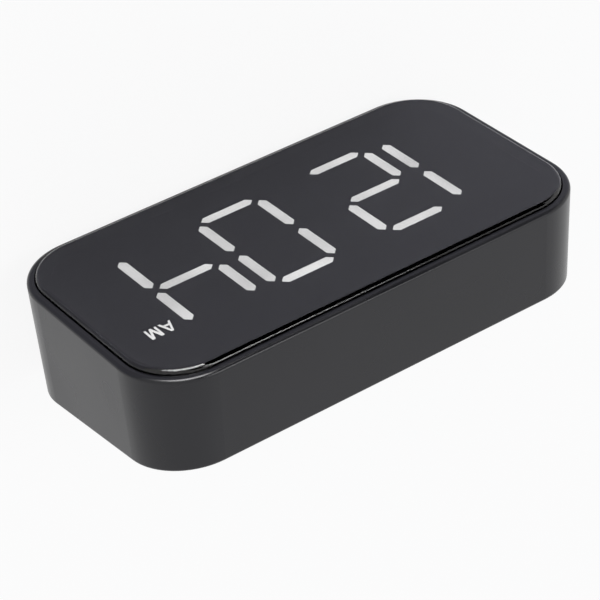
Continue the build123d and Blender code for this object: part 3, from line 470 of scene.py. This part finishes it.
copied = copies.nodes.new("GeometryNodeObjectInfo")
join(copies, group_in.outputs["Copied"], copied.inputs["Object"])
row = copies.nodes.new("GeometryNodeInstanceOnPoints")
row_line = centred_line(group_in.outputs["Count"], group_in.outputs["Pitch"])
join(copies, row_line, row.inputs["Points"])
join(copies, copied.outputs["Geometry"], row.inputs["Instance"])
side_place = copies.nodes.new("ShaderNodeCombineXYZ")
join(copies, group_in.outputs["Side"], side_place.inputs["Y"])
near_row = copies.nodes.new("GeometryNodeTransform")
join(copies, row.outputs["Instances"], near_row.inputs["Geometry"])
join(copies, side_place.outputs[0], near_row.inputs["Translation"])
far_row = copies.nodes.new("GeometryNodeTransform")
far_row.inputs["Rotation"].default_value = (0, 0, math.pi)
join(copies, near_row.outputs["Geometry"], far_row.inputs["Geometry"])
both_rows = copies.nodes.new("GeometryNodeJoinGeometry")
join(copies, near_row.outputs["Geometry"], both_rows.inputs["Geometry"])
join(copies, far_row.outputs["Geometry"], both_rows.inputs["Geometry"])
placed = copies.nodes.new("GeometryNodeInstanceOnPoints")
place_line = centred_line(group_in.outputs["Places"], group_in.outputs["Place Pitch"])
join(copies, place_line, placed.inputs["Points"])
join(copies, both_rows.outputs["Geometry"], placed.inputs["Instance"])
realized = copies.nodes.new("GeometryNodeRealizeInstances")
join(copies, placed.outputs["Instances"], realized.inputs["Geometry"])
finished = copies.nodes.new("GeometryNodeSetMaterial")
join(copies, realized.outputs["Geometry"], finished.inputs["Geometry"])
join(copies, group_in.outputs["Finish"], finished.inputs["Material"])
join(copies, finished.outputs["Geometry"], group_out.inputs["Geometry"])


def bar_object(name, outline, width):
    """An outline in Y and Z, drawn out along X by the width, to be copied."""
    points = [(-width / 2, y, z) for y, z in outline] + [(width / 2, y, z) for y, z in outline]
    count = len(outline)
    faces = [tuple(reversed(range(count))), tuple(range(count, 2 * count))]
    faces += [(i, (i + 1) % count, (i + 1) % count + count, i + count) for i in range(count)]
    mesh = bpy.data.meshes.new(name)
    mesh.from_pydata(points, [], faces)
    return bpy.data.objects.new(name, mesh)


def copied_rows(name, bar, count, pitch, side, places, place_pitch, material, where):
    """Two rows of the bar at each place, as one piece on the clock's body."""
    holder = bpy.data.objects.new(name + "_maker", bpy.data.meshes.new(name + "_maker"))
    bpy.context.scene.collection.objects.link(holder)
    bpy.context.scene.collection.objects.link(bar)
    maker = holder.modifiers.new("maker", "NODES")
    maker.node_group = copies
    values = {
        "Copied": bar, "Count": count, "Pitch": pitch, "Side": side,
        "Places": places, "Place Pitch": place_pitch, "Finish": material,
    }
    for item in copies.interface.items_tree:
        if item.in_out == "INPUT":
            maker[item.identifier] = values[item.name]
    made = holder.evaluated_get(bpy.context.evaluated_depsgraph_get())
    mesh = bpy.data.meshes.new_from_object(made)
    mesh.transform(where)
    bpy.data.objects.remove(holder)
    bpy.data.objects.remove(bar)
    piece = bpy.data.objects.new(name, mesh)
    bpy.context.scene.collection.objects.link(piece)
    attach(piece, "clock")


contact_gold = plated_material("contact_gold", (0.85, 0.6, 0.25), 0.22, 0.000001)
strip_length, strip_width, strip_proud = 0.0032, 0.0003, 0.00003
strip_count, strip_pitch = 12, 0.0005
tongue_half, strip_forward = 0.00035, 0.0012
strip_outline = [
    (0, -strip_length / 2), (strip_proud, -strip_length / 2),
    (strip_proud, strip_length / 2), (0, strip_length / 2),
]
inlet_strip = bar_object("inlet_strip", strip_outline, strip_width)
inlet_place = placed_on(middle("socket_tongue") - strip_forward * back_in, back_up, back_in)
copied_rows(
    "inlet_contacts", inlet_strip, strip_count, strip_pitch, tongue_half, 1, 0.0,
    contact_gold, inlet_place,
)

# Control board: green glass-fibre board behind the back wall, screwed on four posts.
# The mask shows its copper runs as slightly raised, paler lines; both boards share it.
mask, group_in, group_out = start_group(
    "solder_mask",
    "ShaderNodeTree",
    [("Place", "NodeSocketVector")],
    [("Colour", "NodeSocketColor"), ("Roughness", "NodeSocketFloat"), ("Height", "NodeSocketFloat")],
)
axes = mask.nodes.new("ShaderNodeSeparateXYZ")
join(mask, group_in.outputs["Place"], axes.inputs[0])
flat = mask.nodes.new("ShaderNodeCombineXYZ")
join(mask, axes.outputs["X"], flat.inputs["X"])
join(mask, axes.outputs["Z"], flat.inputs["Y"])
runs = mask.nodes.new("ShaderNodeTexBrick")
runs.inputs["Color1"].default_value = (0.008, 0.075, 0.03, 1)
runs.inputs["Color2"].default_value = (0.007, 0.065, 0.026, 1)
runs.inputs["Mortar"].default_value = (0.022, 0.15, 0.07, 1)
runs.inputs["Scale"].default_value = 110.0
runs.inputs["Mortar Size"].default_value = 0.022
runs.inputs["Brick Width"].default_value = 0.9
runs.inputs["Row Height"].default_value = 0.21
join(mask, flat.outputs[0], runs.inputs["Vector"])
cloud_scale = 120.0
cloudy = noise(mask, group_in.outputs["Place"], cloud_scale, 2.0)
join(mask, runs.outputs["Color"], group_out.inputs["Colour"])
join(mask, spread(mask, cloudy, 0.25, 0.4), group_out.inputs["Roughness"])
join(mask, runs.outputs["Fac"], group_out.inputs["Height"])
board_green, tree, surface = start_material("board_green", 0.3)
place = tree.nodes.new("ShaderNodeTexCoord")
board_mask = tree.nodes.new("ShaderNodeGroup")
board_mask.node_tree = mask
bump = tree.nodes.new("ShaderNodeBump")
bump.inputs["Distance"].default_value = 0.00004
join(tree, place.outputs["Object"], board_mask.inputs["Place"])
join(tree, board_mask.outputs["Colour"], surface.inputs["Base Color"])
join(tree, board_mask.outputs["Roughness"], surface.inputs["Roughness"])
join(tree, board_mask.outputs["Height"], bump.inputs["Height"])
join(tree, bump.outputs["Normal"], surface.inputs["Normal"])
dress("control_board", board_green)
screw_steel = plated_material("screw_steel", (0.5, 0.49, 0.47), 0.3, 0.000002)
dress("control_board_screws", screw_steel)

# Chip, crystal and capacitors on the control board: moulded epoxy, a drawn can, sleeved cans.
# The chip has gull-wing legs along two sides, soldered to the board.
chip_black = moulded_material("chip_black", (0.018, 0.018, 0.019), 0.55, 0.000005)
dress("control_chip", chip_black)
can_metal = plated_material("can_metal", (0.66, 0.65, 0.63), 0.2, 0.000001)
dress("clock_crystal", can_metal)
capacitor_sleeve = moulded_material("capacitor_sleeve", (0.012, 0.02, 0.06), 0.3, 0.000002)
dress("capacitors", capacitor_sleeve)
leg_tin = plated_material("leg_tin", (0.7, 0.7, 0.68), 0.3, 0.000001)


def gull_wing(shoulder, foot, height, thickness):
    """Outline of a leg that leaves a body level, drops to the board and turns out."""
    return [
        (0, height), (0, height - thickness), (shoulder, height - thickness), (shoulder, 0),
        (shoulder + foot, 0), (shoulder + foot, thickness), (shoulder + thickness, thickness),
        (shoulder + thickness, height),
    ]


chip_half, chip_half_height = 0.0035, 0.00075
chip_shoulder, chip_foot, chip_drop, chip_sheet = 0.0005, 0.0006, 0.0008, 0.00015
chip_leg_width, chip_leg_count, chip_leg_pitch = 0.0003, 8, 0.0008
chip_leg = bar_object("chip_leg", gull_wing(chip_shoulder, chip_foot, chip_drop, chip_sheet), chip_leg_width)
chip_place = placed_on(middle("control_chip") - chip_half_height * back_in, back_up, back_in)
copied_rows(
    "control_chip_legs", chip_leg, chip_leg_count, chip_leg_pitch, chip_half, 1, 0.0,
    leg_tin, chip_place,
)

# Switches: five square black tact switches under the plungers, on the back side of the board.
# Each stands on four bent legs.
switch_black = moulded_material("switch_black", (0.02, 0.02, 0.021), 0.42, 0.000003)
dress("tact_switches", switch_black)
switch_half, switch_half_height, switch_count = 0.003, 0.00175, 5
switch_shoulder, switch_foot, switch_drop, switch_sheet = 0.0003, 0.0007, 0.0012, 0.0002
switch_leg_width, switch_leg_count, switch_leg_pitch = 0.0007, 2, 0.0045
switch_wing = gull_wing(switch_shoulder, switch_foot, switch_drop, switch_sheet)
switch_leg = bar_object("switch_leg", switch_wing, switch_leg_width)
switch_place = placed_on(middle("tact_switches") + switch_half_height * back_in, back_up, -back_in)
button_pitch = middle("alarm_button").x - middle("mode_button").x
copied_rows(
    "switch_legs", switch_leg, switch_leg_count, switch_leg_pitch, switch_half, switch_count, button_pitch,
    leg_tin, switch_place,
)

# Buzzer: a drum of black moulded plastic that sounds the alarm through the holes in the back.
# It is soldered to the board.
buzzer_black = moulded_material("buzzer_black", (0.014, 0.014, 0.015), 0.5, 0.000004)
dress("buzzer", buzzer_black)

# Flat cable: two white nylon sockets and a folded white ribbon with parallel wires.
# The wires show as soft ridges along the ribbon, and the grooves between them carry painted shade.
socket_white = moulded_material("socket_white", (0.72, 0.7, 0.64), 0.45, 0.000003)
dress("display_socket", socket_white)
dress("control_socket", socket_white)
ribbon_white, tree, surface = start_material("ribbon_white", 0.45)
place = tree.nodes.new("ShaderNodeTexCoord")
wires = tree.nodes.new("ShaderNodeTexWave")
wires.wave_type = "BANDS"
wires.bands_direction = "X"
wires.inputs["Scale"].default_value = 500.0
# Painted shade: the ribbon runs from dark in the grooves between the wires to pale on their ridges.
groove_shade_tint = tree.nodes.new("ShaderNodeMix")
groove_shade_tint.data_type = "RGBA"
groove_shade_tint.inputs["A"].default_value = (0.5, 0.49, 0.46, 1)
groove_shade_tint.inputs["B"].default_value = (0.78, 0.77, 0.74, 1)
bump = tree.nodes.new("ShaderNodeBump")
bump.inputs["Distance"].default_value = 0.0001
join(tree, place.outputs["Object"], wires.inputs["Vector"])
join(tree, wires.outputs["Fac"], groove_shade_tint.inputs["Factor"])
join(tree, groove_shade_tint.outputs["Result"], surface.inputs["Base Color"])
join(tree, wires.outputs["Fac"], bump.inputs["Height"])
join(tree, bump.outputs["Normal"], surface.inputs["Normal"])
dress("link_ribbon", ribbon_white)

# Cells: three AAA cells laid head to tail, in a plain slate film with a grey head band.
# The ends are bare steel. The middle cell lies the other way round.
cell_wrap, tree, surface = start_material("cell_wrap", 0.28)
place = tree.nodes.new("ShaderNodeTexCoord")
axes = tree.nodes.new("ShaderNodeSeparateXYZ")
join(tree, place.outputs["Object"], axes.inputs[0])
cell_length, row_half = 0.0445, 0.0055
middle_row = tree.nodes.new("ShaderNodeMath")
middle_row.operation = "COMPARE"
middle_row.inputs[1].default_value = middle("aaa_cells").z
middle_row.inputs[2].default_value = row_half
join(tree, axes.outputs["Z"], middle_row.inputs[0])
head_sign = tree.nodes.new("ShaderNodeMath")
head_sign.operation = "MULTIPLY_ADD"
head_sign.inputs[1].default_value = 2.0
head_sign.inputs[2].default_value = -1.0
join(tree, middle_row.outputs[0], head_sign.inputs[0])
along = tree.nodes.new("ShaderNodeMath")
along.operation = "MULTIPLY"
join(tree, axes.outputs["X"], along.inputs[0])
join(tree, head_sign.outputs[0], along.inputs[1])
along_share = tree.nodes.new("ShaderNodeMath")
along_share.operation = "MULTIPLY_ADD"
along_share.inputs[1].default_value = 1 / cell_length
along_share.inputs[2].default_value = 0.5
join(tree, along.outputs[0], along_share.inputs[0])
bands = tree.nodes.new("ShaderNodeValToRGB")
bands.color_ramp.interpolation = "CONSTANT"
band_colours = [
    (0.0, (0.62, 0.61, 0.58, 1)), (0.025, (0.07, 0.085, 0.11, 1)), (0.6, (0.5, 0.5, 0.5, 1)),
    (0.615, (0.3, 0.31, 0.33, 1)), (0.955, (0.62, 0.61, 0.58, 1)),
]
while len(bands.color_ramp.elements) < len(band_colours):
    bands.color_ramp.elements.new(1.0)
for element, (share, colour) in zip(bands.color_ramp.elements, band_colours):
    element.position = share
    element.color = colour
join(tree, along_share.outputs[0], bands.inputs["Fac"])
bare = tree.nodes.new("ShaderNodeValToRGB")
bare.color_ramp.interpolation = "CONSTANT"
bare_shares = [(0.0, 1.0), (0.025, 0.0), (0.6, 0.8), (0.955, 1.0)]
while len(bare.color_ramp.elements) < len(bare_shares):
    bare.color_ramp.elements.new(1.0)
for element, (share, level) in zip(bare.color_ramp.elements, bare_shares):
    element.position = share
    element.color = (level, level, level, 1)
join(tree, along_share.outputs[0], bare.inputs["Fac"])
join(tree, bands.outputs["Color"], surface.inputs["Base Color"])
join(tree, bare.outputs["Color"], surface.inputs["Metallic"])
wrinkle_scale = 300.0
wrinkles = noise(tree, place.outputs["Object"], wrinkle_scale, 3.0)
join(tree, spread(tree, wrinkles, 0.22, 0.36), surface.inputs["Roughness"])
dress("aaa_cells", cell_wrap)

# Battery contacts and leads: stamped and plated strips in the end walls, with soldered wires.
# One lead is red and the other black.
contact_metal = plated_material("contact_metal", (0.66, 0.64, 0.58), 0.28, 0.000002)
dress("bridge_contacts", contact_metal)
dress("end_contacts", contact_metal)
lead_colour, other_lead_colour = (0.45, 0.012, 0.01), (0.012, 0.012, 0.013)
lead_red = moulded_material("lead_red", lead_colour, 0.4, 0.000004)
tree = lead_red.node_tree
place = tree.nodes.new("ShaderNodeTexCoord")
axes = tree.nodes.new("ShaderNodeSeparateXYZ")
right_lead = tree.nodes.new("ShaderNodeMath")
right_lead.operation = "GREATER_THAN"
right_lead.inputs[1].default_value = 0.0
lead_tint = tree.nodes.new("ShaderNodeMix")
lead_tint.data_type = "RGBA"
lead_tint.inputs["A"].default_value = (*lead_colour, 1)
lead_tint.inputs["B"].default_value = (*other_lead_colour, 1)
join(tree, place.outputs["Object"], axes.inputs[0])
join(tree, axes.outputs["X"], right_lead.inputs[0])
join(tree, right_lead.outputs[0], lead_tint.inputs["Factor"])
join(tree, lead_tint.outputs["Result"], tree.nodes["finish"].inputs["Colour"])
dress("battery_leads", lead_red)

# Battery door: a flat plate of the case's plastic, tilted out of two slots at its foot.
# A sprung tongue with three grip grooves latches it.
dress("battery_door", case_black)

# Display board: the same green board, with a white lamp under each half of a bar.
# A driver chip with legs along both long sides sits on its back.
dress("display_board", board_green)
dress("display_board_screws", screw_steel)
led_white = moulded_material("led_white", (0.75, 0.7, 0.5), 0.35, 0.000003)
dress("segment_leds", led_white)
dress("driver_chip", chip_black)
driver_half, driver_half_height = 0.00375, 0.00115
driver_shoulder, driver_foot, driver_drop, driver_sheet = 0.0006, 0.0008, 0.0012, 0.0002
driver_leg_width, driver_leg_count, driver_leg_pitch = 0.0004, 14, 0.00127
driver_wing = gull_wing(driver_shoulder, driver_foot, driver_drop, driver_sheet)
driver_leg = bar_object("driver_leg", driver_wing, driver_leg_width)
driver_place = placed_on(middle("driver_chip") + driver_half_height * face_out, face_up, -face_out)
copied_rows(
    "driver_chip_legs", driver_leg, driver_leg_count, driver_leg_pitch, driver_half, 1, 0.0,
    leg_tin, driver_place,
)

# Light box: a black moulding with a chimney round each bar, which keeps the light apart.
# It stands on the case's towers, and the panel is glued over it.
box_black = moulded_material("box_black", (0.006, 0.006, 0.006), 0.6, 0.000001, gloss=0.08)
dress("light_box", box_black)
dress("mark_insert", box_black)

# Bars: diffusing plastic pegs in the chimneys, lit or dark, and the small morning mark.
# The lit ones glow a little unevenly, as the lamps behind them differ.
lamps, group_in, group_out = start_group(
    "lamp_spread",
    "ShaderNodeTree",
    [("Place", "NodeSocketVector"), ("Colour", "NodeSocketColor")],
    [("Colour", "NodeSocketColor")],
)
shade = lamps.nodes.new("ShaderNodeVectorMath")
shade.operation = "SCALE"
join(lamps, group_in.outputs["Colour"], shade.inputs[0])
uneven_scale = 55.0
uneven = noise(lamps, group_in.outputs["Place"], uneven_scale, 1.0)
join(lamps, spread(lamps, uneven, 0.78, 1.12), shade.inputs["Scale"])
join(lamps, shade.outputs["Vector"], group_out.inputs["Colour"])


def lit_material(name, colour, strength):
    """A diffusing plastic lit from behind."""
    material, tree, surface = start_material(name, 0.5)
    surface.inputs["Base Color"].default_value = (0.4, 0.4, 0.4, 1)
    surface.inputs["Emission Strength"].default_value = strength
    place = tree.nodes.new("ShaderNodeTexCoord")
    glow = tree.nodes.new("ShaderNodeGroup")
    glow.node_tree = lamps
    glow.inputs["Colour"].default_value = (*colour, 1)
    join(tree, place.outputs["Object"], glow.inputs["Place"])
    join(tree, glow.outputs["Colour"], surface.inputs["Emission Color"])
    return material


glow_colour, bar_strength, mark_strength = (1.0, 1.0, 0.99), 3.6, 4.2
dress("lit_segments", lit_material("bar_glow", glow_colour, bar_strength))
dress("am_mark", lit_material("mark_glow", glow_colour, mark_strength))
bar_dark = moulded_material("bar_dark", (0.008, 0.008, 0.008), 0.6, 0.000003, gloss=0.08)
dress("unlit_segments", bar_dark)
dress("colon_dots", bar_dark)

# Adhesive ring: a thin black foam tape, cut as a ring.
# It glues the panel on the light box.
tape_black = moulded_material("tape_black", (0.008, 0.008, 0.008), 0.8, 0.00001)
dress("panel_tape", tape_black)

# Front panel: a smoked clear acrylic plate with a rounded, polished edge, glued on the light box.
# It stands proud of the rim, and carries a very faint film of handling.
panel_smoke, tree, surface = start_material("panel_smoke", 0.02)
surface.inputs["Base Color"].default_value = (0.2, 0.2, 0.2, 1)
surface.inputs["IOR"].default_value = 1.49
surface.inputs["Transmission Weight"].default_value = 1.0
place = tree.nodes.new("ShaderNodeTexCoord")
film_scale = 45.0
film = noise(tree, place.outputs["Object"], film_scale, 4.0)
join(tree, spread(tree, film, 0.01, 0.035), surface.inputs["Roughness"])
dress("front_panel", panel_smoke)

# Case screws: four long cross-head screws of plated steel, deep in the bores of the back.
# They pull the case onto the light box.
dress("case_screws", screw_steel)
